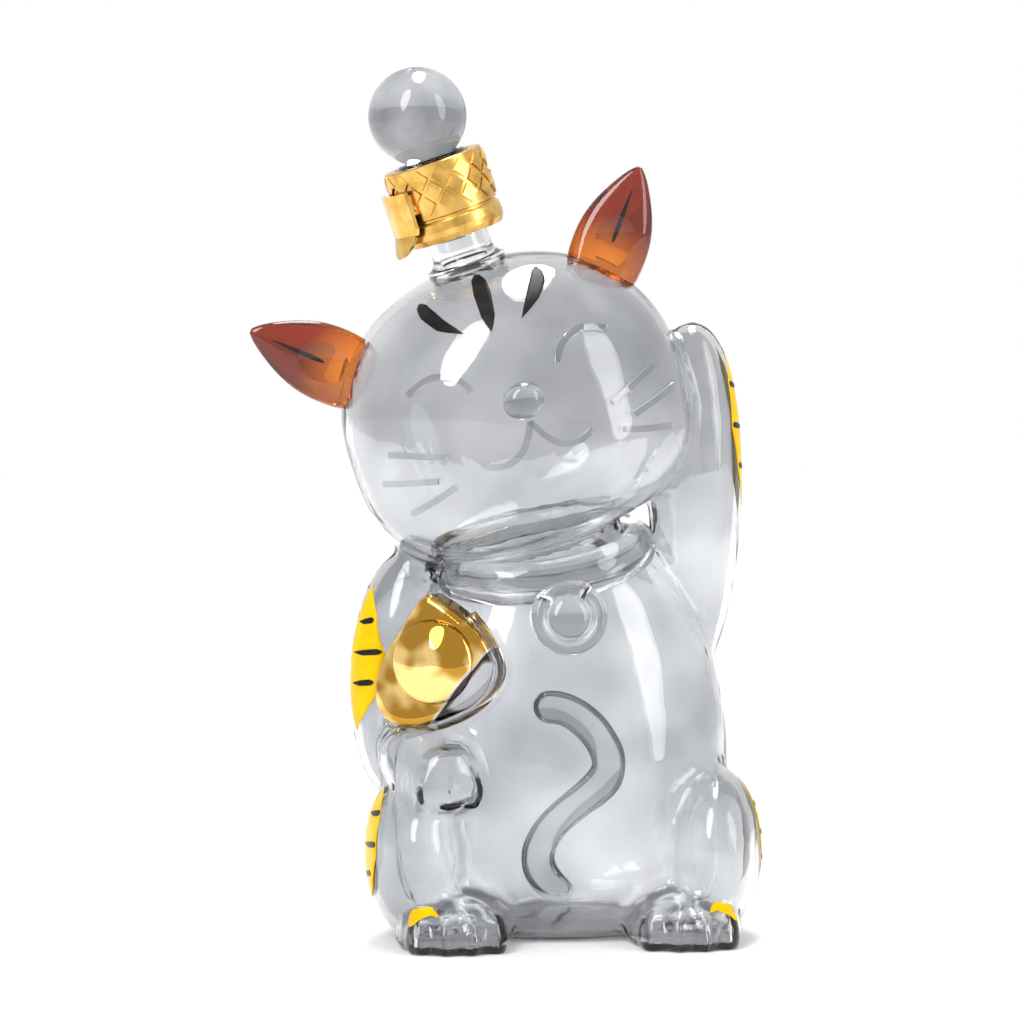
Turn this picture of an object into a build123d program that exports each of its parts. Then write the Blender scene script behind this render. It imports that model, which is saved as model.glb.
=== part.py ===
"""Figural liquor decanter: a seated, beckoning tiger cub in clear blown glass.

The hollow figure is one blown vessel: head, torso, haunches, a raised arm and a hanging arm
share one cavity. Solid glass pieces are fused on: neck, collar, bell, nose, feet, tail, amber
ears and the ingot. A gilt sleeve with a tag turns on the lip of the neck, and a ball stopper
with silicone rings closes the bore.

Frame, in millimetres: the origin is the centre of the resting face, +Z is up, the figure
faces -Y, and +X is at the right hand of someone who looks at its face.
"""

import math
import os

from build123d import *

# Glass thickness
WALL = 2.4
FLOOR = 6.0

# Head, in its own leaning frame: width along x, depth along y, height along the neck's axis
HEAD_LEAN = 18.4
HEAD_X = -13.0
HEAD_Y = 2.0
HEAD_Z = 154.5
HEAD_HALF_WIDTH = 51.2
HEAD_HALF_DEPTH = 41.5
HEAD_RISE = 45.6
HEAD_DROP = 40.0
CROWN_POWER = 2.2
JAW_POWER = 3.0

# Torso, a pear with a rounded heel
TORSO_Y = 8.0
TORSO_Z = 40.0
TORSO_HALF_WIDTH = 51.5
TORSO_HALF_DEPTH = 38.0
TORSO_RISE = 85.0
TORSO_DROP = 42.0
SHOULDER_POWER = 2.2
HEEL_POWER = 4.0

# Haunches, one each side
HAUNCH_X = 43.5
HAUNCH_Y = -10.0
HAUNCH_Z = 26.5
HAUNCH_HALF_WIDTH = 15.0
HAUNCH_HALF_DEPTH = 26.0
HAUNCH_RISE = 24.0
HAUNCH_DROP = 26.0
HAUNCH_POWER = 2.1

# Raised arm and its beckoning paw, in one leaf-shaped form
RAISED_ARM_X = 41.0
RAISED_ARM_Y = 9.0
RAISED_ARM_Z = 134.0
RAISED_ARM_LEAN = -1.0
RAISED_ARM_HALF_WIDTH = 14.2
RAISED_ARM_HALF_DEPTH = 13.2
RAISED_ARM_RISE = 46.0
RAISED_ARM_DROP = 58.0
PAW_TIP_POWER = 2.3
ARM_ROOT_POWER = 1.9

# Hanging arm: upper arm, forearm and the paw on the knee
HANGING_ARM_LEAN = 2.0
HANGING_ARM_X = -45.0
HANGING_ARM_Y = 3.0
HANGING_ARM_Z = 76.0
HANGING_ARM_HALF_WIDTH = 17.0
HANGING_ARM_HALF_DEPTH = 15.0
HANGING_ARM_HALF_LENGTH = 38.0
FOREARM_X = -44.0
FOREARM_Y = -15.0
FOREARM_Z = 56.0
FOREARM_HALF_WIDTH = 12.5
FOREARM_HALF_DEPTH = 13.0
FOREARM_HALF_HEIGHT = 11.0
RESTING_PAW_X = -35.0
RESTING_PAW_Y = -26.5
RESTING_PAW_Z = 51.5
RESTING_PAW_HALF_WIDTH = 9.0
RESTING_PAW_HALF_DEPTH = 10.0
RESTING_PAW_HALF_HEIGHT = 10.0
LIMB_POWER = 2.1

# Feet with their toes
FOOT_X = 35.0
FOOT_Y = -24.5
FOOT_Z = 4.5
FOOT_HALF_WIDTH = 17.0
FOOT_HALF_LENGTH = 19.5
FOOT_RISE = 11.0
FOOT_POWER = 2.8
TOE_COUNT = 4
TOE_PITCH = 8.2
TOE_HALF_WIDTH = 4.7
TOE_HALF_LENGTH = 8.0
TOE_RISE = 8.0
TOE_Y = -37.5
TOE_SET_BACK = 2.2
TOE_Z = 4.5

# Neck tube with its flared foot and rolled lip, and where they lie above the head's centre
BORE_RADIUS = 7.5
NECK_RADIUS = 9.05
NECK_FOOT_RADIUS = 11.7
NECK_FOOT_RISE = 46.3
NECK_FOOT_HEIGHT = 4.6
LIP_RADIUS = 13.2
LIP_HEIGHT = 4.2
LIP_TOP_RISE = 76.8
LIP_ROOT_HEIGHT = 4.0
LIP_ROUND = 1.2

# Ball stopper
BALL_RADIUS = 14.4
BALL_RISE = 91.2
STOPPER_FLANGE_RADIUS = 10.7
STOPPER_FLANGE_HEIGHT = 1.9
STOPPER_WAIST_RADIUS = 7.6
STOPPER_SEAT_GAP = 0.05
PLUG_RADIUS = 7.2
PLUG_LENGTH = 23.0
PLUG_TIP_RADIUS = 5.6
PLUG_TIP_HEIGHT = 3.0

# Silicone rings in the plug's grooves
RING_COUNT = 3
RING_PITCH = 5.6
RING_HEIGHT = 3.0
RING_FIRST_DEPTH = 4.5
RING_FIT = 0.05
GROOVE_DEPTH = 1.1

# Gilt sleeve on the lip
SLEEVE_BOTTOM_RISE = 54.8
SLEEVE_TOP_THICKNESS = 1.0
SLEEVE_OUTER_RADIUS = 14.7
SLEEVE_CLEARANCE = 0.3
SLEEVE_MOUTH_RADIUS = 11.1
SLEEVE_HEM_HEIGHT = 6.6
SLEEVE_HEM_BULGE = 0.5
SLEEVE_CREASE_DEPTH = 0.45
SLEEVE_CREASE_HEIGHT = 0.9
SLEEVE_EDGE_ROUND = 0.35
LOZENGE_ROWS = 3
LOZENGE_COLUMNS = 14
LOZENGE_RELIEF = 0.5
LOZENGE_GAP = 0.5

# Tag plate, turned to the figure's right
TAG_ANGLE = -74.0
TAG_STAND_OFF = 1.5
TAG_THICKNESS = 0.9
TAG_WIDTH = 18.5
TAG_HEIGHT = 18.6
TAG_BELOW_SLEEVE = 1.4
TAG_FLARE = 1.6
TAG_FLARE_HEIGHT = 6.0
TAG_CORNER = 1.5
LUG_HEIGHT = 6.0
LUG_WIDTH = 3.4
LUG_INSET = 1.2

# Collar and bell
COLLAR_X = -5.0
COLLAR_Y = 5.5
COLLAR_Z = 111.0
COLLAR_PITCH = 10.0
COLLAR_ROLL = -8.0
COLLAR_RADIUS = 28.5
COLLAR_DEPTH_SHARE = 0.9
COLLAR_BAND_HALF_HEIGHT = 6.4
COLLAR_BAND_HALF_THICKNESS = 5.6
BELL_X = 0.0
BELL_Y = -25.0
BELL_Z = 96.4
BELL_LEAN = 12.0
BELL_RADIUS = 11.2
BELL_RIM_RADIUS = 2.5
BELL_DOME_RADIUS = 6.6
BELL_DOME_HEIGHT = 3.2
BELL_DEPTH = 7.0

# Nose bead, in the head's frame
NOSE_RISE = 6.6
NOSE_HALF_WIDTH = 6.2
NOSE_HALF_HEIGHT = 5.4
NOSE_HALF_DEPTH = 4.4

# Trails of glass on the face, as (across, rise) points in the head's frame for the right half
TRAIL_RELIEF = 0.9
TRAIL_WIDTH = 1.8
FACE_SCALE = 10.0
EYE_SHARES = ((1.33, 1.35), (1.62, 1.82), (2.2, 2.04), (2.72, 1.93), (3.05, 1.76))
MOUTH_SHARES = ((0.0, 0.02), (0.28, -0.5), (0.62, -0.84), (1.1, -0.97), (1.65, -0.76))
WHISKER_SHARES = (
    ((2.5, -0.3), (3.3, 0.0), (4.1, 0.25)),
    ((3.0, -0.85), (3.75, -0.7), (4.5, -0.55)),
    ((2.6, -1.15), (3.3, -1.4), (4.0, -1.6)),
)

# Ears, in the head's frame: where the root sits, and which way the tip leans
EAR_LENGTH = 32.0
EAR_ROOT_DEPTH = 6.0
EAR_Y = -4.0
LEFT_EAR_X = -42.6
LEFT_EAR_RISE = 26.4
LEFT_EAR_LEAN = -48.0
RIGHT_EAR_X = 36.8
RIGHT_EAR_RISE = 31.6
RIGHT_EAR_LEAN = 39.0
EAR_SPREAD = 11.2
EAR_THICKNESS = 5.0
EAR_SCOOP_RADIUS = 24.0
EAR_SCOOP_DEPTH = 2.0
EAR_STATION_SHARES = (0.0, 0.25, 0.45, 0.65, 0.84, 0.95, 1.0)
EAR_WIDTH_SHARES = (0.84, 1.0, 0.98, 0.80, 0.48, 0.23, 0.06)
EAR_THICKNESS_SHARES = (1.0, 0.95, 0.85, 0.70, 0.48, 0.30, 0.12)

# Ingot hugged to the chest: its outline as shares of its half height
INGOT_X = -35.5
INGOT_Y = -17.0
INGOT_Z = 83.0
INGOT_TURN = -27.0
INGOT_NOD = -4.0
INGOT_HALF_HEIGHT = 19.3
INGOT_DEPTH = 10.0
INGOT_EDGE_ROUND = 2.6
INGOT_DOME_RADIUS = 12.5
INGOT_DOME_HEIGHT = 4.6
INGOT_OUTLINE_SHARES = (
    (-0.05, 1.0),
    (0.47, 0.68),
    (0.86, 0.25),
    (0.98, -0.17),
    (0.68, -0.58),
    (0.22, -0.84),
    (-0.34, -1.0),
    (-0.84, -0.84),
    (-0.96, -0.42),
    (-0.83, 0.05),
    (-0.53, 0.55),
)

# Tail, an S on the back of the torso: its centreline as (across, up) shares
TAIL_RADIUS = 5.2
TAIL_Y = 43.5
TAIL_SCALE = 10.0
TAIL_SHARES = ((0.4, 0.44), (-0.12, 1.8), (0.86, 3.03), (2.0, 4.3), (1.53, 5.4), (0.2, 6.1))

# One overrun serves all cuts
OVERRUN = 5.0
PROFILE_STEPS = 7
POLE_SPEED = 1.0
ROUND = 2.1

# Which way the seam of a form faces, in degrees from +x: the seams of limbs lie inside
BACK = 90.0
RIGHT = 180.0
LEFT = 0.0


def head_frame():
    """The head's leaning frame: its z is the axis of the neck."""
    return Location((HEAD_X, HEAD_Y, HEAD_Z), (0, -HEAD_LEAN, 0))


def quarter(width, height, power):
    """Points of a quarter superellipse from the widest point (excluded) to the pole."""
    points = []
    for step in range(1, PROFILE_STEPS + 1):
        turn = math.pi / 2 * step / PROFILE_STEPS
        across = width * max(math.cos(turn), 0) ** (2 / power)
        points.append((across, height * math.sin(turn) ** (2 / power)))
    points[-1] = (0, height)
    return points


def blown_form(width, depth, rise, drop, rise_power=ROUND, drop_power=ROUND, seam=BACK):
    """A closed round form: a superelliptic profile is turned, then flattened in depth."""
    upper = quarter(width, rise, rise_power)
    lower = [(across, -down) for across, down in quarter(width, drop, drop_power)]
    points = list(reversed(lower)) + [(width, 0)] + upper
    profile = Plane.XZ * Spline(
        points, tangents=[(1, 0), (-1, 0)], tangent_scalars=(POLE_SPEED, POLE_SPEED)
    )
    axis = Plane.XZ * Line(points[-1], points[0])
    solid = Rot(0, 0, seam) * revolve(make_face([profile, axis]), Axis.Z, 360)
    return scale(solid, by=(1, depth / width, 1))


def head_form(skin=0.0):
    """The head, or with a skin the hollow inside it."""
    form = blown_form(
        HEAD_HALF_WIDTH - skin,
        HEAD_HALF_DEPTH - skin,
        HEAD_RISE - skin,
        HEAD_DROP - skin,
        CROWN_POWER,
        JAW_POWER,
    )
    return head_frame() * form


def torso_form(skin=0.0):
    form = blown_form(
        TORSO_HALF_WIDTH - skin,
        TORSO_HALF_DEPTH - skin,
        TORSO_RISE - skin,
        TORSO_DROP - skin,
        SHOULDER_POWER,
        HEEL_POWER,
    )
    return Pos(0, TORSO_Y, TORSO_Z) * form


def haunch_form(side, skin=0.0):
    form = blown_form(
        HAUNCH_HALF_WIDTH - skin,
        HAUNCH_HALF_DEPTH - skin,
        HAUNCH_RISE - skin,
        HAUNCH_DROP - skin,
        HAUNCH_POWER,
        HAUNCH_POWER,
        RIGHT if side > 0 else LEFT,
    )
    return Pos(side * HAUNCH_X, HAUNCH_Y, HAUNCH_Z) * form


def raised_arm_form(skin=0.0):
    arm = blown_form(
        RAISED_ARM_HALF_WIDTH - skin,
        RAISED_ARM_HALF_DEPTH - skin,
        RAISED_ARM_RISE - skin,
        RAISED_ARM_DROP - skin,
        PAW_TIP_POWER,
        ARM_ROOT_POWER,
        RIGHT,
    )
    place = Location((RAISED_ARM_X, RAISED_ARM_Y, RAISED_ARM_Z), (0, RAISED_ARM_LEAN, 0))
    return place * arm


def hanging_arm_form(skin=0.0):
    length = HANGING_ARM_HALF_LENGTH - skin
    arm = blown_form(
        HANGING_ARM_HALF_WIDTH - skin,
        HANGING_ARM_HALF_DEPTH - skin,
        length,
        length,
        LIMB_POWER,
        LIMB_POWER,
        LEFT,
    )
    place = Location((HANGING_ARM_X, HANGING_ARM_Y, HANGING_ARM_Z), (0, HANGING_ARM_LEAN, 0))
    return place * arm


def resting_paw_forms():
    """Forearm and paw, solid glass pressed onto the hanging arm and the knee."""
    forearm = blown_form(
        FOREARM_HALF_WIDTH, FOREARM_HALF_DEPTH, FOREARM_HALF_HEIGHT, FOREARM_HALF_HEIGHT
    )
    paw = blown_form(
        RESTING_PAW_HALF_WIDTH,
        RESTING_PAW_HALF_DEPTH,
        RESTING_PAW_HALF_HEIGHT,
        RESTING_PAW_HALF_HEIGHT,
    )
    return [
        Pos(FOREARM_X, FOREARM_Y, FOREARM_Z) * forearm,
        Pos(RESTING_PAW_X, RESTING_PAW_Y, RESTING_PAW_Z) * paw,
    ]


def below(level):
    """Everything under a level, as one block wide enough for the whole figure."""
    span = 4 * HEAD_HALF_WIDTH
    height = level + TORSO_Z
    return Pos(0, 0, level - height / 2) * Box(span, span, height)


def figure(skin=0.0):
    """The whole blown figure as one solid, or with a skin its cavity."""
    forms = [torso_form(skin), haunch_form(-1, skin), haunch_form(1, skin)]
    forms += [raised_arm_form(skin), hanging_arm_form(skin)]
    whole = head_form(skin)
    for form in forms:
        whole = whole + form
    return whole - below(FLOOR if skin else 0)


def bore_cut():
    """The bore from inside the head out through the crown."""
    length = LIP_TOP_RISE
    return head_frame() * Pos(0, 0, length / 2) * Cylinder(BORE_RADIUS, length)


def make_vessel(body):
    return body - figure(WALL) - bore_cut()


def turned(points):
    """A solid turned about the neck's axis from a closed outline of (radius, rise) points."""
    outline = Plane.XZ * Polyline(*points, close=True)
    return head_frame() * revolve(make_face(outline), Axis.Z, 360)


def make_neck(body):
    """Tube with a flared foot fused to the crown and a rolled lip."""
    shaft_bottom = NECK_FOOT_RISE + NECK_FOOT_HEIGHT
    lip_bottom = LIP_TOP_RISE - LIP_HEIGHT
    flare = Plane.XZ * Spline(
        [(NECK_FOOT_RADIUS, NECK_FOOT_RISE), (NECK_RADIUS, shaft_bottom)],
        tangents=[(-1, 0.25), (0, 1)],
    )
    lip_root = Plane.XZ * Spline(
        [(NECK_RADIUS, lip_bottom - LIP_ROOT_HEIGHT), (LIP_RADIUS, lip_bottom)],
        tangents=[(0, 1), (1, 0.6)],
    )
    shaft = Plane.XZ * Line(
        (NECK_RADIUS, shaft_bottom), (NECK_RADIUS, lip_bottom - LIP_ROOT_HEIGHT)
    )
    root = (BORE_RADIUS, HEAD_RISE - WALL)
    lip = Plane.XZ * Polyline(
        (LIP_RADIUS, lip_bottom),
        (LIP_RADIUS, LIP_TOP_RISE - LIP_ROUND),
        (LIP_RADIUS - LIP_ROUND, LIP_TOP_RISE),
        (BORE_RADIUS, LIP_TOP_RISE),
        root,
        (NECK_FOOT_RADIUS, root[1]),
        (NECK_FOOT_RADIUS, NECK_FOOT_RISE),
    )
    face = make_face([*flare.edges(), *shaft.edges(), *lip_root.edges(), *lip.edges()])
    return head_frame() * revolve(face, Axis.Z, 360) - body


def stopper_seat():
    return LIP_TOP_RISE + STOPPER_SEAT_GAP


def ring_top(index):
    """How high the top of a silicone ring lies, counted down from the stopper's flange."""
    return stopper_seat() - RING_FIRST_DEPTH - index * RING_PITCH


def ring_blank(inner, outer, top, height):
    """A turned ring with square edges, which also cuts its own groove."""
    return turned([(inner, top), (outer, top), (outer, top - height), (inner, top - height)])


def make_stopper():
    """Solid glass ball on a waisted flange, with a plug grooved for its rings."""
    seat = stopper_seat()
    tip = seat - PLUG_LENGTH
    flange_top = seat + STOPPER_FLANGE_HEIGHT
    waist_rise = BALL_RISE - math.sqrt(BALL_RADIUS**2 - STOPPER_WAIST_RADIUS**2)
    body = turned(
        [
            (0, tip),
            (PLUG_TIP_RADIUS, tip),
            (PLUG_RADIUS, tip + PLUG_TIP_HEIGHT),
            (PLUG_RADIUS, seat),
            (STOPPER_FLANGE_RADIUS, seat),
            (STOPPER_FLANGE_RADIUS, seat + STOPPER_FLANGE_HEIGHT / 2),
            (STOPPER_FLANGE_RADIUS - STOPPER_FLANGE_HEIGHT / 2, flange_top),
            (STOPPER_WAIST_RADIUS, waist_rise),
            (0, BALL_RISE),
        ]
    )
    body += head_frame() * Pos(0, 0, BALL_RISE) * Sphere(BALL_RADIUS)
    groove_radius = PLUG_RADIUS - GROOVE_DEPTH
    for index in range(RING_COUNT):
        body -= ring_blank(groove_radius, BORE_RADIUS, ring_top(index), RING_HEIGHT)
    return body


def make_ring(index):
    """A silicone ring: a bulging lip above and below a shallow waist."""
    inner = PLUG_RADIUS - GROOVE_DEPTH + RING_FIT
    outer = BORE_RADIUS - RING_FIT
    top = ring_top(index) - RING_FIT
    bottom = ring_top(index) - RING_HEIGHT + RING_FIT
    land = (top - bottom) / 5
    root = PLUG_RADIUS - RING_FIT
    return turned(
        [
            (inner, bottom),
            (root, bottom),
            (outer, bottom + land),
            (outer, bottom + 2 * land),
            (root, (top + bottom) / 2),
            (outer, top - 2 * land),
            (outer, top - land),
            (root, top),
            (inner, top),
        ]
    )


def lozenge(row, column):
    """One raised diamond of the woven pattern, set into the sleeve's face."""
    field_bottom = SLEEVE_BOTTOM_RISE + SLEEVE_HEM_HEIGHT + SLEEVE_CREASE_HEIGHT
    field_top = LIP_TOP_RISE + SLEEVE_TOP_THICKNESS
    height = (field_top - field_bottom) / (LOZENGE_ROWS + 1)
    width = 2 * math.pi * SLEEVE_OUTER_RADIUS / LOZENGE_COLUMNS
    rise = field_bottom + height * (row + 1)
    angle = 360 / LOZENGE_COLUMNS * (column + row / 2)
    reach_across = (width - LOZENGE_GAP) / 2
    reach_up = height - LOZENGE_GAP
    diamond = make_face(
        Polyline((reach_across, 0), (0, reach_up), (-reach_across, 0), (0, -reach_up), close=True)
    )
    sunk = SLEEVE_OUTER_RADIUS - SLEEVE_OUTER_RADIUS / LOZENGE_COLUMNS
    prism = extrude(diamond, SLEEVE_OUTER_RADIUS + LOZENGE_RELIEF - sunk, taper=12)
    upright = Rot(0, 0, angle) * Pos(0, -sunk, rise) * Rot(90, 0, 0)
    return upright * prism


def make_sleeve():
    """Gilt sleeve: a turned-in top that hangs on the lip, a woven field and a rounded hem."""
    bottom = SLEEVE_BOTTOM_RISE
    top = LIP_TOP_RISE + STOPPER_SEAT_GAP + SLEEVE_TOP_THICKNESS
    ceiling = top - SLEEVE_TOP_THICKNESS
    inner = LIP_RADIUS + SLEEVE_CLEARANCE
    outer = SLEEVE_OUTER_RADIUS
    hem = bottom + SLEEVE_HEM_HEIGHT
    groove = outer - SLEEVE_CREASE_DEPTH
    body = turned(
        [
            (inner, bottom),
            (outer - SLEEVE_HEM_BULGE, bottom),
            (outer + SLEEVE_HEM_BULGE / 2, bottom + SLEEVE_HEM_HEIGHT / 4),
            (outer + SLEEVE_HEM_BULGE, bottom + SLEEVE_HEM_HEIGHT / 2),
            (outer + SLEEVE_HEM_BULGE / 2, hem - SLEEVE_HEM_HEIGHT / 8),
            (groove, hem),
            (groove, hem + SLEEVE_CREASE_HEIGHT / 2),
            (outer, hem + SLEEVE_CREASE_HEIGHT),
            (outer, top - SLEEVE_EDGE_ROUND),
            (outer - SLEEVE_EDGE_ROUND, top),
            (SLEEVE_MOUTH_RADIUS, top),
            (SLEEVE_MOUTH_RADIUS, ceiling),
            (inner, ceiling),
        ]
    )
    hollow = ring_blank(0, inner, ceiling, ceiling - bottom)
    rows = range(LOZENGE_ROWS)
    columns = range(LOZENGE_COLUMNS)
    body += [head_frame() * lozenge(row, column) for row in rows for column in columns]
    return body - hollow


def tag_frame():
    """The neck's frame, turned so that -y points at the middle of the tag."""
    return head_frame() * Rot(0, 0, TAG_ANGLE)


def make_tag():
    """Bare shield-shaped plate, curved round the sleeve, on two lugs."""
    inner = SLEEVE_OUTER_RADIUS + LOZENGE_RELIEF + TAG_STAND_OFF
    outer = inner + TAG_THICKNESS
    bottom = SLEEVE_BOTTOM_RISE - TAG_BELOW_SLEEVE
    top = bottom + TAG_HEIGHT
    flare_top = bottom + TAG_FLARE_HEIGHT
    outline = Plane.XZ * Polyline(
        (inner + TAG_FLARE, bottom),
        (outer + TAG_FLARE, bottom),
        (outer, flare_top),
        (outer, top),
        (inner, top),
        (inner, flare_top),
        close=True,
    )
    shell = revolve(make_face(outline), Axis.Z, 360)
    half = TAG_WIDTH / 2
    shield = make_face(
        [
            Line((-half, top), (half, top)),
            Line((half, top), (half, flare_top + TAG_CORNER)),
            ThreePointArc(
                (half, flare_top + TAG_CORNER), (0, bottom), (-half, flare_top + TAG_CORNER)
            ),
            Line((-half, flare_top + TAG_CORNER), (-half, top)),
        ]
    )
    stamp = extrude(Plane.XZ * shield, outer + TAG_FLARE + OVERRUN)
    plate = shell & stamp
    return tag_frame() * plate


def make_lugs(sleeve):
    """The two lugs that carry the tag, from the sleeve's face to the back of the plate."""
    plate_back = SLEEVE_OUTER_RADIUS + LOZENGE_RELIEF + TAG_STAND_OFF
    top = SLEEVE_BOTTOM_RISE - TAG_BELOW_SLEEVE + TAG_HEIGHT - LUG_INSET
    ring = revolve(
        make_face(
            Plane.XZ
            * Polyline(
                (SLEEVE_OUTER_RADIUS - SLEEVE_CREASE_DEPTH, top),
                (plate_back, top),
                (plate_back, top - LUG_HEIGHT),
                (SLEEVE_OUTER_RADIUS - SLEEVE_CREASE_DEPTH, top - LUG_HEIGHT),
                close=True,
            )
        ),
        Axis.Z,
        360,
    )
    lugs = []
    for side in (-1, 1):
        offset = side * (TAG_WIDTH / 2 - LUG_INSET - LUG_WIDTH / 2)
        window = Pos(offset, -plate_back, top - LUG_HEIGHT / 2) * Box(
            LUG_WIDTH, 2 * plate_back - OVERRUN, LUG_HEIGHT
        )
        lugs.append(tag_frame() * (ring & window) - sleeve)
    return lugs


def make_collar(body):
    """Applied glass collar round the throat, higher at the figure's left."""
    section = Plane.XZ * Pos(COLLAR_RADIUS, 0) * Ellipse(
        COLLAR_BAND_HALF_THICKNESS, COLLAR_BAND_HALF_HEIGHT
    )
    ring = scale(revolve(section, Axis.Z, 360), by=(1, COLLAR_DEPTH_SHARE, 1))
    placed = Location((COLLAR_X, COLLAR_Y, COLLAR_Z), (COLLAR_PITCH, COLLAR_ROLL, 0)) * ring
    return placed - body


def make_bell(body, collar):
    """Round bell on the chest: a rolled rim round a low dome."""
    middle = BELL_RADIUS - BELL_RIM_RADIUS
    rim = Torus(middle, BELL_RIM_RADIUS)
    dome = scale(Sphere(BELL_DOME_RADIUS), by=(1, 1, BELL_DOME_HEIGHT / BELL_DOME_RADIUS))
    skirt = Pos(0, 0, -BELL_DEPTH / 2) * Cylinder(BELL_RADIUS, BELL_DEPTH)
    place = Location((BELL_X, BELL_Y, BELL_Z), (90 - BELL_LEAN, 0, 0))
    return place * (skirt + rim + dome) - body - collar


def make_nose(body):
    """Solid bead in the middle of the face."""
    bead = blown_form(NOSE_HALF_WIDTH, NOSE_HALF_HEIGHT, NOSE_HALF_DEPTH, NOSE_HALF_DEPTH)
    return head_frame() * Pos(0, -HEAD_HALF_DEPTH, NOSE_RISE) * Rot(90, 0, 0) * bead - body


def make_trails(lines, body):
    """Low trails of glass that follow lines drawn on the face."""
    reach = HEAD_HALF_DEPTH + OVERRUN
    stamps = []
    for line in lines:
        points = [(across * FACE_SCALE, up * FACE_SCALE) for across, up in line]
        ribbon = trace(Spline(*points), TRAIL_WIDTH)
        stamps.append(head_frame() * extrude(Plane.XZ * ribbon, reach))
    skin = head_form(-TRAIL_RELIEF)
    return [stamp & skin - body for stamp in stamps]


def halves(line):
    """A line of the face and its mirror image."""
    return [line, [(-across, up) for across, up in line]]


def make_ear(x, rise, lean, body):
    """Amber leaf-shaped ear, dished in front and fused to the crown."""
    sections = []
    for station, width, thickness in zip(
        EAR_STATION_SHARES, EAR_WIDTH_SHARES, EAR_THICKNESS_SHARES
    ):
        level = station * (EAR_LENGTH + EAR_ROOT_DEPTH) - EAR_ROOT_DEPTH
        sections.append(Pos(0, 0, level) * Ellipse(width * EAR_SPREAD, thickness * EAR_THICKNESS))
    leaf = loft(sections)
    scoop = Pos(0, -EAR_THICKNESS - EAR_SCOOP_RADIUS + EAR_SCOOP_DEPTH, EAR_LENGTH / 3)
    leaf = leaf - scoop * Sphere(EAR_SCOOP_RADIUS)
    return head_frame() * Location((x, EAR_Y, rise), (0, lean, 0)) * leaf - body


def make_ingot(body):
    """Gilt ingot: a rounded three-cornered slab with a domed heart."""
    points = [(x * INGOT_HALF_HEIGHT, y * INGOT_HALF_HEIGHT) for x, y in INGOT_OUTLINE_SHARES]
    slab = extrude(make_face(Spline(*points, periodic=True)), INGOT_DEPTH)
    slab = fillet(slab.faces().sort_by(Axis.Z)[-1].edges(), INGOT_EDGE_ROUND)
    dome = scale(Sphere(INGOT_DOME_RADIUS), by=(1, 1, INGOT_DOME_HEIGHT / INGOT_DOME_RADIUS))
    whole = slab + Pos(0, 0, INGOT_DEPTH) * dome
    place = Pos(INGOT_X, INGOT_Y, INGOT_Z) * Rot(0, 0, INGOT_TURN) * Rot(90 + INGOT_NOD, 0, 0)
    return place * whole - body


def make_resting_paw(body, ingot):
    forearm, paw = resting_paw_forms()
    return forearm + paw - body - ingot


def make_foot(side):
    """Solid foot with its row of toes, flat underneath and fused under the haunch."""
    foot = Pos(side * FOOT_X, FOOT_Y, FOOT_Z) * blown_form(
        FOOT_HALF_WIDTH, FOOT_HALF_LENGTH, FOOT_RISE, FOOT_RISE, FOOT_POWER, FOOT_POWER
    )
    foot = foot - haunch_form(side) - torso_form()
    toes = []
    for index in range(TOE_COUNT):
        from_middle = index - (TOE_COUNT - 1) / 2
        set_back = TOE_SET_BACK * from_middle**2 / 2
        toe = blown_form(TOE_HALF_WIDTH, TOE_HALF_LENGTH, TOE_RISE, TOE_RISE)
        across = side * FOOT_X + from_middle * TOE_PITCH
        toes.append(Pos(across, TOE_Y + set_back, TOE_Z) * toe)
    return foot + toes - below(0)


def make_tail(body):
    """S-shaped tail, a half-round relief fused up the back."""
    points = [(across * TAIL_SCALE, up * TAIL_SCALE) for across, up in TAIL_SHARES]
    path = Plane.XZ.offset(-TAIL_Y) * Spline(*points)
    tube = sweep(Plane(path @ 0, z_dir=path % 0) * Circle(TAIL_RADIUS), path)
    tube += Pos(*(path @ 1)) * Sphere(TAIL_RADIUS)
    tube += Pos(*(path @ 0)) * Sphere(TAIL_RADIUS)
    return tube - body - below(0)


def export(node, shape):
    pieces = shape if isinstance(shape, list) else [shape]
    solids = [solid for piece in pieces for solid in piece.solids()]
    whole = Compound(children=solids) if len(solids) > 1 else solids[0]
    export_step(whole, f"parts/{node}.step")
    print(node, [round(solid.volume) for solid in solids], all(solid.is_valid for solid in solids))


def main():
    os.makedirs("parts", exist_ok=True)
    body = figure()
    sleeve = make_sleeve()
    collar = make_collar(body)
    export("vessel", make_vessel(body))
    export("neck", make_neck(body))
    export("ball_stopper", make_stopper())
    for index, name in enumerate(("upper", "middle", "lower")):
        export(f"seal_ring_{name}", make_ring(index))
    export("sleeve", sleeve)
    export("tag_plate", make_tag())
    export("tag_lugs", make_lugs(sleeve))
    export("collar", collar)
    export("bell", make_bell(body, collar))
    export("nose", make_nose(body))
    export("eyes", make_trails(halves(EYE_SHARES), body))
    export("mouth", make_trails(halves(MOUTH_SHARES), body))
    for side, name in ((1, "right"), (-1, "left")):
        lines = [[(side * across, up) for across, up in line] for line in WHISKER_SHARES]
        export(f"whiskers_{name}", make_trails(lines, body))
    export("ear_left", make_ear(LEFT_EAR_X, LEFT_EAR_RISE, LEFT_EAR_LEAN, body))
    export("ear_right", make_ear(RIGHT_EAR_X, RIGHT_EAR_RISE, RIGHT_EAR_LEAN, body))
    ingot = make_ingot(body)
    export("ingot", ingot)
    export("resting_paw", make_resting_paw(body, ingot))
    export("foot_left", make_foot(-1))
    export("foot_right", make_foot(1))
    export("tail", make_tail(body))


main()
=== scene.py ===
"""Looks of the figural decanter: blown glass, amber ears, gilt sleeve and enamel marks.

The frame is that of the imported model, in metres: the figure faces -Y and +Z is up. Sizes and
places below are in millimetres, and MM turns them into metres.
"""

import math

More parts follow.
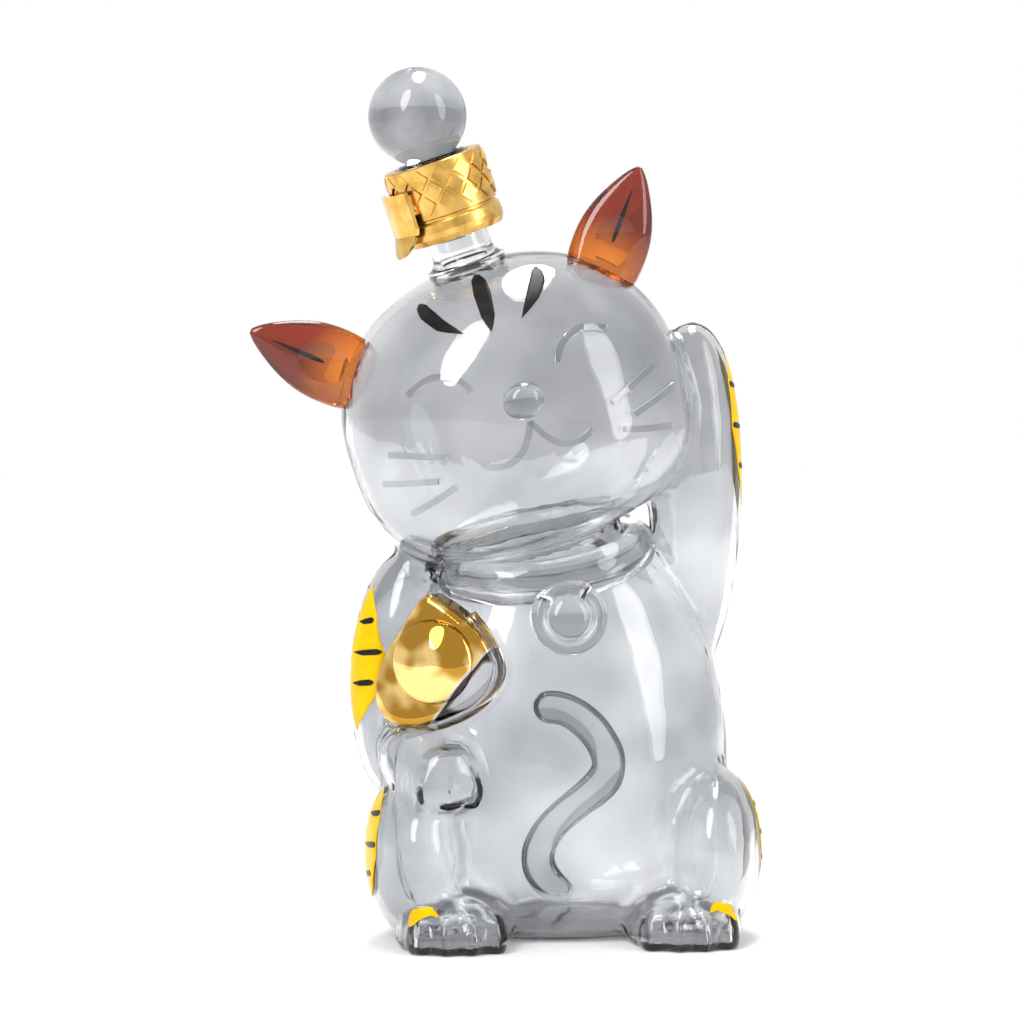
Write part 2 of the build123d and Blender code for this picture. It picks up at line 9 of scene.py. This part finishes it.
import bpy
from mathutils import Matrix, Vector
from mathutils.bvhtree import BVHTree

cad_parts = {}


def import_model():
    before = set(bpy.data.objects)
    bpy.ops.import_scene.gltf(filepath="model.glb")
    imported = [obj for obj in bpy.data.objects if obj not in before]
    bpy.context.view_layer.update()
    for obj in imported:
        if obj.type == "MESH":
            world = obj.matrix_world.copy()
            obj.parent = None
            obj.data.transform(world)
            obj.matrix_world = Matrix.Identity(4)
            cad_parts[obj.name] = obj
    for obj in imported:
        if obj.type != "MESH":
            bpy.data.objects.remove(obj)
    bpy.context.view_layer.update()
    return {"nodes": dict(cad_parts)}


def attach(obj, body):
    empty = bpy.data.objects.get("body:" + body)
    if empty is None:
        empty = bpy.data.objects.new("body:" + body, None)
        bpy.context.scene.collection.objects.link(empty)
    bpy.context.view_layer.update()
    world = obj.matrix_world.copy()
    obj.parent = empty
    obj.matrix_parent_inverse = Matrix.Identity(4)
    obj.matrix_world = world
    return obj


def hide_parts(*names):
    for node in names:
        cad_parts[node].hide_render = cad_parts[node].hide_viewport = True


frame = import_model()

MM = 0.001
ROUND = 2.1
FRONT = Vector((0, 1, 0))


def moved(x, y, z):
    return Matrix.Translation(Vector((x, y, z)) * MM)


def turned(degrees, axis):
    return Matrix.Rotation(math.radians(degrees), 4, axis)


def at(x, y, z, lean=0.0):
    """A place in the figure, leaning to its left by so many degrees."""
    return moved(x, y, z) @ turned(lean, "Y")


HEAD_PLACE = at(-13.0, 2.0, 154.5, -18.4)


# Materials

PRINCIPLED = "Principled BSDF"
GLASS_IOR = 1.47
AMBER_IOR = 1.5
AMBER_ROUGHNESS = 0.02
AMBER_ROOT_COLOUR = (0.70, 0.20, 0.012, 1.0)
AMBER_TIP_COLOUR = (0.19, 0.016, 0.002, 1.0)
AMBER_ROOT_REACH = 2.0
AMBER_TIP_REACH = 16.0
ENAMEL_GLOSS = 0.1


def new_material(name, settings):
    """A material whose principled shader has the given values on its own sockets."""
    material = bpy.data.materials.new(name)
    material.use_nodes = True
    shader = material.node_tree.nodes[PRINCIPLED]
    for socket, value in settings.items():
        shader.inputs[socket].default_value = value
    return material


def parts_of(material):
    nodes = material.node_tree.nodes
    return nodes, material.node_tree.links, nodes[PRINCIPLED]


def add_grain(material, scale, strength, distance):
    """A procedural relief in object coordinates: the faint waviness of a worked surface."""
    nodes, links, shader = parts_of(material)
    where = nodes.new("ShaderNodeTexCoord")
    noise = nodes.new("ShaderNodeTexNoise")
    noise.inputs["Scale"].default_value = scale
    noise.inputs["Detail"].default_value = 2.0
    bump = nodes.new("ShaderNodeBump")
    bump.inputs["Strength"].default_value = strength
    bump.inputs["Distance"].default_value = distance * MM
    links.new(where.outputs["Object"], noise.inputs["Vector"])
    links.new(noise.outputs["Fac"], bump.inputs["Height"])
    links.new(bump.outputs["Normal"], shader.inputs["Normal"])
    return noise


def colour_ramp(nodes, start, end, start_at=0.0, end_at=1.0):
    ramp = nodes.new("ShaderNodeValToRGB")
    first, last = ramp.color_ramp.elements
    first.position, first.color = start_at, start
    last.position, last.color = end_at, end
    return ramp


def vary(material, noise, dark, light):
    """The noise also tints the surface a little, between two plain colours."""
    nodes, links, shader = parts_of(material)
    ramp = colour_ramp(nodes, (*dark, 1.0), (*light, 1.0), 0.35, 0.65)
    links.new(noise.outputs["Fac"], ramp.inputs["Fac"])
    links.new(ramp.outputs["Color"], shader.inputs["Base Color"])


def glass_material(name, dark, light, wave, wave_scale):
    material = new_material(name, {
        "Base Color": (*light, 1.0),
        "Roughness": 0.0,
        "IOR": GLASS_IOR,
        "Transmission Weight": 1.0,
    })
    vary(material, add_grain(material, wave_scale, wave, 1.1), dark, light)
    return material


def amber_material(name, root):
    """Amber glass that glows orange at its root and deepens to red-brown at the tip."""
    material = new_material(name, {
        "Roughness": AMBER_ROUGHNESS,
        "IOR": AMBER_IOR,
        "Transmission Weight": 1.0,
    })
    nodes, links, shader = parts_of(material)
    add_grain(material, 90.0, 0.25, 0.4)
    where = nodes.new("ShaderNodeTexCoord")
    reach = nodes.new("ShaderNodeVectorMath")
    reach.operation = "DISTANCE"
    reach.inputs[1].default_value = root
    spread = nodes.new("ShaderNodeMapRange")
    spread.inputs["From Min"].default_value = AMBER_ROOT_REACH * MM
    spread.inputs["From Max"].default_value = AMBER_TIP_REACH * MM
    ramp = colour_ramp(nodes, AMBER_ROOT_COLOUR, AMBER_TIP_COLOUR)
    links.new(where.outputs["Object"], reach.inputs[0])
    links.new(reach.outputs["Value"], spread.inputs["Value"])
    links.new(spread.outputs["Result"], ramp.inputs["Fac"])
    links.new(ramp.outputs["Color"], shader.inputs["Base Color"])
    return material


def metal_material(name, dark, light, rough):
    material = new_material(name, {"Metallic": 1.0, "Roughness": rough})
    vary(material, add_grain(material, 220.0, 0.15, 0.15), dark, light)
    return material


def plain_material(name, dark, light, rough, transmission=0.0):
    material = new_material(name, {"Roughness": rough, "Transmission Weight": transmission})
    vary(material, add_grain(material, 160.0, 0.1, 0.1), dark, light)
    return material


def enamel_material(name, dark, light):
    material = plain_material(name, dark, light, 0.25)
    material.node_tree.nodes[PRINCIPLED].inputs["Specular IOR Level"].default_value = ENAMEL_GLOSS
    return material


def wear(obj, material):
    obj.data.materials.clear()
    obj.data.materials.append(material)


# The greys of these glasses are painted shade: the real glass is clear, and the grey, with its
# darker and lighter streaks, stands in for the surroundings seen through it; the ball is darkest
blown_glass = glass_material("blown glass", (0.49, 0.502, 0.522), (0.76, 0.768, 0.78), 0.8, 24.0)
solid_glass = glass_material("solid glass", (0.78, 0.79, 0.80), (0.90, 0.905, 0.915), 0.12, 40.0)
ball_glass = glass_material("ball glass", (0.20, 0.21, 0.23), (0.50, 0.51, 0.53), 0.3, 70.0)
trail_glass = glass_material("trail glass", (0.60, 0.61, 0.625), (0.74, 0.75, 0.76), 0.1, 60.0)
gilt = metal_material("gilt", (0.48, 0.28, 0.06), (0.70, 0.43, 0.12), 0.26)
gilt_polished = metal_material("polished gilt", (0.56, 0.32, 0.06), (0.78, 0.49, 0.14), 0.08)
yellow_enamel = enamel_material("yellow enamel", (0.68, 0.40, 0.0), (0.78, 0.48, 0.0))
# The black serves the enamel stripes and ticks, and also the painted shade down the ears' folds
black_enamel_and_fold_shade = enamel_material("black enamel and fold shade", (0.006, 0.006, 0.006), (0.016, 0.016, 0.016))
silicone = plain_material("silicone", (0.70, 0.71, 0.72), (0.80, 0.80, 0.81), 0.4, 0.4)


# Modelling helpers

def alone(obj):
    """Only this object is selected, so an operator acts on nothing else."""
    bpy.ops.object.select_all(action="DESELECT")
    obj.select_set(True)
    bpy.context.view_layer.objects.active = obj


def apply(obj, kind, **settings):
    alone(obj)
    modifier = obj.modifiers.new(kind.lower(), kind)
    for key, value in settings.items():
        setattr(modifier, key, value)
    bpy.ops.object.modifier_apply(modifier=modifier.name)


def settle(obj, place):
    """Put the object at its place, in its mesh, so that it sits at the origin unturned."""
    obj.matrix_world = place
    alone(obj)
    bpy.ops.object.transform_apply(location=True, rotation=True, scale=True)


def join(parts, name):
    bpy.ops.object.select_all(action="DESELECT")
    for part in parts:
        part.select_set(True)
    bpy.context.view_layer.objects.active = parts[0]
    bpy.ops.object.join()
    parts[0].name = name
    return parts[0]


POLE = 1e-6


def blown_form(place, width, depth, rise, drop, rise_power=ROUND, drop_power=ROUND):
    """A ball pressed to a superelliptic profile, with half sizes across and its rise and drop."""
    bpy.ops.mesh.primitive_uv_sphere_add(segments=72, ring_count=48, radius=1.0)
    obj = bpy.context.object
    for vertex in obj.data.vertices:
        ring = math.hypot(vertex.co.x, vertex.co.y)
        upper = vertex.co.z >= 0
        power = rise_power if upper else drop_power
        reach = rise if upper else drop
        across = Vector((vertex.co.x, vertex.co.y, 0))
        if ring > POLE:
            across = across / ring * ring ** (2 / power)
        height = math.copysign(abs(vertex.co.z) ** (2 / power) * reach, vertex.co.z)
        vertex.co = Vector((across.x * width, across.y * depth, height)) * MM
    settle(obj, place)
    return obj


# The blown figure: one skin over head, torso, limbs and feet

WALL = 2.4
BORE_RADIUS = 7.3
CROWN_RISE = 30.0
REST_LIFT = 0.05
FIRST_VOXEL = 1.35
SECOND_VOXEL = 1.45

BODY_FORMS = (
    ("head", HEAD_PLACE, (51.2, 41.5, 45.6, 40.0, 2.2, 3.0)),
    ("torso", at(0, 8, 40), (51.5, 38.0, 85.0, 42.0, 2.2, 4.0)),
    ("right haunch", at(-43.5, -10, 26.5), (15.0, 26.0, 24.0, 26.0)),
    ("left haunch", at(43.5, -10, 26.5), (15.0, 26.0, 24.0, 26.0)),
    ("raised arm", at(41, 9, 134, -1), (14.2, 13.2, 46.0, 58.0, 2.3, 1.9)),
    ("hanging arm", at(-45, 3, 76, 2), (17.0, 15.0, 38.0, 38.0)),
    ("wrist", at(-43, -15, 55), (12.5, 13.0, 11.0, 11.0)),
    ("resting paw", at(-37, -24, 50.5, -12), (12.0, 12.0, 10.5, 11.0, 2.6, 2.6)),
)

FOOT_X = 34
FOOT_Y = -24.0
FOOT_Z = 3.5
FOOT_SIZE = (17.0, 18.0, 13.0, 11.0)
TOE_COUNT = 4
TOE_PITCH = 7.4
TOE_Y = -37.2
TOE_Z = 3.0
TOE_ARC = 1.5
TOE_WIDTH = 4.1
TOE_DEPTH = 8.0
TOE_RISE = 10.0
TOE_FALL = 0.8
TOE_DROP = 8.0

KNUCKLE_COUNT = 3
KNUCKLE_X = -42.5
KNUCKLE_Y = -33.6
KNUCKLE_Z = 46.5
KNUCKLE_PITCH = 6.6
KNUCKLE_ARC = 1.6
KNUCKLE_SIZE = (3.6, 4.4, 6.6, 6.0)


def foot_forms(side):
    forms = [blown_form(at(side * FOOT_X, FOOT_Y, FOOT_Z), *FOOT_SIZE)]
    for index in range(TOE_COUNT):
        off = index - (TOE_COUNT - 1) / 2
        place = at(side * FOOT_X + off * TOE_PITCH, TOE_Y + TOE_ARC * off * off, TOE_Z)
        rise = TOE_RISE - TOE_FALL * abs(off)
        forms.append(blown_form(place, TOE_WIDTH, TOE_DEPTH, rise, TOE_DROP))
    return forms


def knuckle_forms():
    forms = []
    for index in range(KNUCKLE_COUNT):
        y = KNUCKLE_Y + KNUCKLE_ARC * abs(index - 1)
        forms.append(blown_form(at(KNUCKLE_X + KNUCKLE_PITCH * index, y, KNUCKLE_Z), *KNUCKLE_SIZE))
    return forms


def press_flat(figure, height):
    """The figure stands on a flat ground base."""
    for vertex in figure.data.vertices:
        vertex.co.z = max(vertex.co.z, height)


def open_bore(figure):
    """The crown is opened where the neck's bore comes through."""
    into_head = HEAD_PLACE.inverted()
    alone(figure)
    bpy.ops.object.mode_set(mode="EDIT")
    bpy.ops.mesh.select_all(action="DESELECT")
    bpy.ops.object.mode_set(mode="OBJECT")
    for vertex in figure.data.vertices:
        spot = into_head @ vertex.co
        inside = math.hypot(spot.x, spot.y) < BORE_RADIUS * MM
        vertex.select = inside and spot.z > CROWN_RISE * MM
    bpy.ops.object.mode_set(mode="EDIT")
    bpy.ops.mesh.select_mode(type="VERT")
    bpy.ops.mesh.delete(type="VERT")
    bpy.ops.object.mode_set(mode="OBJECT")


def make_figure():
    """The hollow figure, and its outer skin to lay the enamel on."""
    parts = [blown_form(place, *size) for _, place, size in BODY_FORMS]
    parts += foot_forms(-1)
    parts += foot_forms(1)
    parts += knuckle_forms()
    figure = join(parts, "blown_figure")
    apply(figure, "REMESH", mode="VOXEL", voxel_size=FIRST_VOXEL * MM)
    press_flat(figure, 0.0)
    apply(figure, "REMESH", mode="VOXEL", voxel_size=SECOND_VOXEL * MM)
    apply(figure, "SMOOTH", factor=0.5, iterations=4)
    press_flat(figure, REST_LIFT * MM)
    skin = BVHTree.FromPolygons(
        [vertex.co.copy() for vertex in figure.data.vertices],
        [tuple(face.vertices) for face in figure.data.polygons],
    )
    open_bore(figure)
    apply(figure, "SOLIDIFY", thickness=WALL * MM, offset=-1.0)
    apply(figure, "SMOOTH", factor=0.5, iterations=3)
    alone(figure)
    bpy.ops.object.shade_smooth()
    wear(figure, blown_glass)
    return figure, skin


figure, skin = make_figure()
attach(figure, "decanter")
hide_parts("vessel", "resting_paw", "foot_left", "foot_right")


# Enamel: ribbons laid on the skin

ENAMEL_LIFT = 0.12
TICK_LIFT = 2.4 * ENAMEL_LIFT
ENAMEL_THICKNESS = 0.1
RIBBON_END = 0.1
HEAD_CLEARANCE = 80.0
BODY_CLEARANCE = 120.0


def ribbon(name, spots, widths, place, toward, material, lift=ENAMEL_LIFT):
    """A thin strip of enamel with round ends, pressed from a flat grid onto the skin.

    spots are (across, up) along its middle, widths its half widths there; place gives the
    frame's point of (across, up), and toward is the way it is laid on.
    """
    count = len(spots) - 1

    def middle(along):
        index = min(int(along * count), count - 1)
        part = along * count - index
        width = widths[index] + (widths[index + 1] - widths[index]) * part
        near_end = min(along, 1 - along) / RIBBON_END
        rounded = math.sqrt(min(max(near_end, RIBBON_END), 1.0))
        return Vector(spots[index]).lerp(Vector(spots[index + 1]), part), width * rounded

    bpy.ops.object.select_all(action="DESELECT")
    bpy.ops.mesh.primitive_grid_add(x_subdivisions=8, y_subdivisions=28, size=2.0)
    obj = bpy.context.object
    obj.name = name
    for vertex in obj.data.vertices:
        along = (vertex.co.y + 1) / 2
        spot, width = middle(along)
        run = middle(min(along + RIBBON_END, 1.0))[0] - middle(max(along - RIBBON_END, 0.0))[0]
        side = Vector((-run.y, run.x)).normalized()
        point = spot + side * width * vertex.co.x
        origin = place(point.x, point.y)
        hit, normal, _, _ = skin.ray_cast(origin, toward)
        if hit is None:
            hit, normal, _, _ = skin.find_nearest(origin)
        vertex.co = hit + normal * (lift * MM)
    apply(obj, "SOLIDIFY", thickness=ENAMEL_THICKNESS * MM, offset=1.0)
    bpy.ops.object.shade_smooth()
    wear(obj, material)
    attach(obj, "decanter")


def on_face(across, up):
    return HEAD_PLACE @ (Vector((across, -HEAD_CLEARANCE, up)) * MM)


def before(across, up):
    return Vector((across, -BODY_CLEARANCE, up)) * MM


STRIPES = {
    "forehead_stripe_middle": (
        [(0.6, 43.0), (-0.3, 38.0), (-1.2, 32.0), (-1.9, 27.6)],
        (1.9, 2.5, 2.0, 0.25),
    ),
    "forehead_stripe_right": (
        [(17.6, 39.6), (16.6, 36.8), (13.4, 33.4), (7.6, 28.4)],
        (1.3, 2.1, 1.9, 0.2),
    ),
    "forehead_stripe_left": (
        [(-17.8, 40.2), (-17.4, 37.4), (-15.0, 33.6), (-9.6, 29.4)],
        (1.3, 2.1, 1.9, 0.2),
    ),
}
for name, (spots, widths) in STRIPES.items():
    ribbon(name, spots, widths, on_face, FRONT, black_enamel_and_fold_shade)

# Side patches as leaves of (depth, up), on the side -1 or 1, with the heights of their ticks
PATCHES = {
    "left_arm": (
        -1,
        [(-1, 104), (-3, 95), (-4, 84), (-4, 72), (-2, 61)],
        (0.4, 3.6, 6.0, 5.0, 0.5),
        (93, 84, 75),
    ),
    "left_haunch": (
        -1,
        [(-14, 46), (-15, 38), (-15, 28), (-12, 19), (-8, 12)],
        (0.5, 6.5, 8.5, 6.5, 0.5),
        (38, 29, 20),
    ),
    "right_haunch": (
        1,
        [(-12, 47), (-13, 40), (-14, 31), (-12, 22), (-9, 15)],
        (0.5, 6.0, 8.0, 6.0, 0.5),
        (39, 31, 23),
    ),
    "raised_arm": (
        1,
        [(8, 173), (6, 162), (5, 149), (6, 136), (8, 122)],
        (0.4, 3.4, 4.2, 3.4, 0.4),
        (161, 149, 137),
    ),
}
TICK_SHARES = (-0.9, -0.2, 0.5)
TICK_RISES = (1.0, 0.3, 0)
TICK_WIDTHS = (0.9, 0.8, 0.1)


def lay_patch(name, side, spots, widths, ticks):
    toward = Vector((-side, 0, 0))

    def beside(depth, up):
        return Vector((side * BODY_CLEARANCE, depth, up)) * MM

    ribbon(f"{name}_patch", spots, widths, beside, toward, yellow_enamel)
    for index, up in enumerate(ticks):
        spot, width = min(zip(spots, widths), key=lambda item: abs(item[0][1] - up))
        tick = [(spot[0] + share * width, up + rise) for share, rise in zip(TICK_SHARES, TICK_RISES)]
        tick_name = f"{name}_tick_{index + 1}"
        ribbon(tick_name, tick, TICK_WIDTHS, beside, toward, black_enamel_and_fold_shade, TICK_LIFT)


for name, patch in PATCHES.items():
    lay_patch(name, *patch)

# Small yellow marks on the outer side of both feet
FOOT_MARK = ((48.0, 8.0), (46.0, 11.2), (42.0, 12.4), (39.5, 11.0))
FOOT_MARK_WIDTHS = (0.3, 1.3, 1.2, 0.3)
for name, side in (("left_foot_mark", -1), ("right_foot_mark", 1)):
    spots = [(side * across, up) for across, up in FOOT_MARK]
    ribbon(name, spots, FOOT_MARK_WIDTHS, before, FRONT, yellow_enamel)


# The amber ears: finish, and painted shade down their folds

EAR_Y = -4.0
LEFT_EAR_X = -42.6
LEFT_EAR_RISE = 26.4
LEFT_EAR_LEAN = -48.0
RIGHT_EAR_X = 36.8
RIGHT_EAR_RISE = 31.6
RIGHT_EAR_LEAN = 39.0
CREASE_HALF_WIDTH = 0.6
CREASE_HALF_LENGTH = 8.5
CREASE_MIDDLE = (0.0, -1.2, 17.0)
CREASE_TAPER = 0.6
CREASE_FULLNESS = 1.1


def root_of(x, rise):
    return tuple(HEAD_PLACE @ (Vector((x, EAR_Y, rise)) * MM))


def paint_fold_shade(name, x, rise, lean):
    """A slim black spindle along the ear, thicker at its lower end: painted shade where the ear
    folds.
    """
    bpy.ops.mesh.primitive_uv_sphere_add(segments=24, ring_count=16, radius=1.0)
    obj = bpy.context.object
    obj.name = name
    for vertex in obj.data.vertices:
        co = vertex.co
        across = co.x * CREASE_HALF_WIDTH * (CREASE_FULLNESS - CREASE_TAPER * co.z)
        vertex.co = Vector((across, co.y * CREASE_HALF_WIDTH, co.z * CREASE_HALF_LENGTH)) * MM
    settle(obj, HEAD_PLACE @ moved(x, EAR_Y, rise) @ turned(lean, "Y") @ moved(*CREASE_MIDDLE))
    bpy.ops.object.shade_smooth()
    wear(obj, black_enamel_and_fold_shade)
    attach(obj, "decanter")


amber_left = amber_material("amber glass left", root_of(LEFT_EAR_X, LEFT_EAR_RISE))
amber_right = amber_material("amber glass right", root_of(RIGHT_EAR_X, RIGHT_EAR_RISE))


# The ingot: polished gilt that stops short of a clear right and lower edge

INGOT_MIDDLE = (-35.5, -17.0, 83.0)
INGOT_TURN = -27
INGOT_STAND = 86
CLEAR_SIDE = math.radians(-38.0)
GILT_END = 9.6
CLEAR_START = 10.6
GILT_SHADE = (0.40, 0.21, 0.03, 1.0)
GILT_LIGHT = (0.86, 0.60, 0.22, 1.0)
CLEAR_COLOUR = (0.86, 0.87, 0.88, 1.0)
MIX_COLOUR_A = 6
MIX_COLOUR_B = 7
MIX_COLOUR_RESULT = 2
RIM_OUTLINE = (
    (0.47, 0.68),
    (0.86, 0.25),
    (0.98, -0.17),
    (0.68, -0.58),
    (0.22, -0.84),
    (-0.34, -1.0),
    (-0.80, -0.86),
)
RIM_REACH = 20.2
RIM_FORWARD = 5.0
RIM_RADIUS = 2.1


def half_gilt_material(name):
    material = new_material(name, {"Roughness": 0.05, "IOR": GLASS_IOR})
    nodes, links, shader = parts_of(material)
    noise = add_grain(material, 70.0, 0.35, 0.8)
    turn = math.radians(INGOT_TURN)
    where = nodes.new("ShaderNodeTexCoord")
    offset = nodes.new("ShaderNodeVectorMath")
    offset.operation = "SUBTRACT"
    offset.inputs[1].default_value = Vector(INGOT_MIDDLE) * MM
    reach = nodes.new("ShaderNodeVectorMath")
    reach.operation = "DOT_PRODUCT"
    reach.inputs[1].default_value = (
        math.cos(CLEAR_SIDE) * math.cos(turn),
        math.cos(CLEAR_SIDE) * math.sin(turn),
        math.sin(CLEAR_SIDE),
    )
    clear = nodes.new("ShaderNodeMapRange")
    clear.inputs["From Min"].default_value = GILT_END * MM
    clear.inputs["From Max"].default_value = CLEAR_START * MM
    cover = nodes.new("ShaderNodeMath")
    cover.operation = "SUBTRACT"
    cover.inputs[0].default_value = 1.0
    streaks = colour_ramp(nodes, GILT_SHADE, GILT_LIGHT, 0.44, 0.54)
    tint = nodes.new("ShaderNodeMix")
    tint.data_type = "RGBA"
    tint.inputs[MIX_COLOUR_B].default_value = CLEAR_COLOUR
    links.new(where.outputs["Object"], offset.inputs[0])
    links.new(offset.outputs["Vector"], reach.inputs[0])
    links.new(reach.outputs["Value"], clear.inputs["Value"])
    links.new(clear.outputs["Result"], cover.inputs[1])
    links.new(cover.outputs["Value"], shader.inputs["Metallic"])
    links.new(clear.outputs["Result"], shader.inputs["Transmission Weight"])
    links.new(noise.outputs["Fac"], streaks.inputs["Fac"])
    links.new(clear.outputs["Result"], tint.inputs["Factor"])
    links.new(streaks.outputs["Color"], tint.inputs[MIX_COLOUR_A])
    links.new(tint.outputs[MIX_COLOUR_RESULT], shader.inputs["Base Color"])
    return material


def ingot_rim():
    """A clear glass bead round the ingot's right and lower edge."""
    place = moved(*INGOT_MIDDLE) @ turned(INGOT_TURN, "Z") @ turned(INGOT_STAND, "X")
    curve = bpy.data.curves.new("ingot_rim", "CURVE")
    curve.dimensions = "3D"
    curve.bevel_depth = RIM_RADIUS * MM
    curve.bevel_resolution = 5
    curve.use_fill_caps = True
    line = curve.splines.new("NURBS")
    line.points.add(len(RIM_OUTLINE) - 1)
    line.use_endpoint_u = True
    line.order_u = 4
    line.resolution_u = 12
    for point, (across, up) in zip(line.points, RIM_OUTLINE):
        spot = Vector((across * RIM_REACH, up * RIM_REACH, RIM_FORWARD)) * MM
        point.co = (*(place @ spot), 1.0)
    obj = bpy.data.objects.new("ingot_rim", curve)
    bpy.context.scene.collection.objects.link(obj)
    alone(obj)
    bpy.ops.object.convert(target="MESH")
    obj = bpy.context.object
    bpy.ops.object.shade_smooth()
    wear(obj, solid_glass)
    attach(obj, "decanter")


half_gilt = half_gilt_material("half gilt")


# Finishes of the pieces carried over from the solid model

CREASE_ANGLE = math.radians(40)
FINISHES = {
    "neck": solid_glass,
    "ball_stopper": ball_glass,
    "seal_ring_upper": silicone,
    "seal_ring_middle": silicone,
    "seal_ring_lower": silicone,
    "sleeve": gilt,
    "tag_plate": gilt_polished,
    "tag_lugs": gilt,
    "collar": solid_glass,
    "bell": solid_glass,
    "nose": trail_glass,
    "eyes": trail_glass,
    "mouth": trail_glass,
    "whiskers_right": trail_glass,
    "whiskers_left": trail_glass,
    "ear_left": amber_left,
    "ear_right": amber_right,
    "ingot": half_gilt,
    "tail": solid_glass,
    "vessel": blown_glass,
    "resting_paw": blown_glass,
    "foot_left": blown_glass,
    "foot_right": blown_glass,
}
for name, material in FINISHES.items():
    node = frame["nodes"][name]
    wear(node, material)
    alone(node)
    bpy.ops.object.shade_smooth_by_angle(angle=CREASE_ANGLE)

# Black spindles down the ears' folds: painted shade, not enamel
paint_fold_shade("left_ear_fold_shade", LEFT_EAR_X, LEFT_EAR_RISE, LEFT_EAR_LEAN)
paint_fold_shade("right_ear_fold_shade", RIGHT_EAR_X, RIGHT_EAR_RISE, RIGHT_EAR_LEAN)
ingot_rim()


# Stage: floor, lights, white surroundings and camera, in metres

FLOOR_SIZE = 3.0
LIGHT_AIM = Vector((0, 0, 0.12))
LIGHT_WIDTH_SHARE = 0.55
LIGHT_HEIGHT_SHARE = 1.5
AMBIENT = 0.7
SEEN_WHITE = 1.0


def make_floor():
    bpy.ops.mesh.primitive_plane_add(size=FLOOR_SIZE, location=(0, 0, 0))
    floor = bpy.context.object
    floor.name = "floor"
    wear(floor, plain_material("pale floor", (0.90, 0.90, 0.90), (0.92, 0.92, 0.92), 0.6))


def area_light(name, location, size, energy):
    data = bpy.data.lights.new(name, "AREA")
    data.shape = "ELLIPSE"
    data.size = size * LIGHT_WIDTH_SHARE
    data.size_y = size * LIGHT_HEIGHT_SHARE
    data.energy = energy
    obj = bpy.data.objects.new(name, data)
    bpy.context.scene.collection.objects.link(obj)
    obj.location = location
    aim = LIGHT_AIM - Vector(location)
    obj.rotation_euler = aim.to_track_quat("-Z", "Y").to_euler()


def make_surroundings():
    """White to the eye and in glass and metal, and softer as a light on the object."""
    world = bpy.data.worlds.new("studio")
    bpy.context.scene.world = world
    world.use_nodes = True
    nodes, links = world.node_tree.nodes, world.node_tree.links
    background = nodes["Background"]
    background.inputs["Color"].default_value = (1.0, 1.0, 1.0, 1.0)
    light_path = nodes.new("ShaderNodeLightPath")
    seen = light_path.outputs["Is Camera Ray"]
    for kind in ("Is Glossy Ray", "Is Transmission Ray"):
        either = nodes.new("ShaderNodeMath")
        either.operation = "MAXIMUM"
        links.new(seen, either.inputs[0])
        links.new(light_path.outputs[kind], either.inputs[1])
        seen = either.outputs["Value"]
    level = nodes.new("ShaderNodeMapRange")
    level.inputs["To Min"].default_value = AMBIENT
    level.inputs["To Max"].default_value = SEEN_WHITE
    links.new(seen, level.inputs["Value"])
    links.new(level.outputs["Result"], background.inputs["Strength"])


make_floor()
area_light("key", (-1.4, -1.6, 1.9), 1.7, 55.0)
area_light("fill", (1.8, -1.2, 1.0), 1.5, 22.0)
area_light("top", (0.1, 0.7, 2.4), 1.4, 45.0)
make_surroundings()

AZIMUTH = math.radians(-6.0)
ELEVATION = math.radians(5.5)
AIM = Vector((-14.2, 0.0, 124.8)) * MM
DISTANCE = 1.8
SENSOR_WIDTH = 36.0
FOCAL_PIXELS = 6120
FRAME_PIXELS = 1024


def make_camera():
    back = Vector((
        math.sin(AZIMUTH) * math.cos(ELEVATION),
        -math.cos(AZIMUTH) * math.cos(ELEVATION),
        math.sin(ELEVATION),
    ))
    data = bpy.data.cameras.new("camera")
    data.sensor_width = SENSOR_WIDTH
    data.lens = SENSOR_WIDTH * FOCAL_PIXELS / FRAME_PIXELS
    camera = bpy.data.objects.new("camera", data)
    bpy.context.scene.collection.objects.link(camera)
    camera.location = AIM + back * DISTANCE
    camera.rotation_euler = (-back).to_track_quat("-Z", "Y").to_euler()
    bpy.context.scene.camera = camera


make_camera()
scene = bpy.context.scene
scene.view_settings.view_transform = "Standard"
scene.cycles.transmission_bounces = 20
scene.cycles.max_bounces = 24
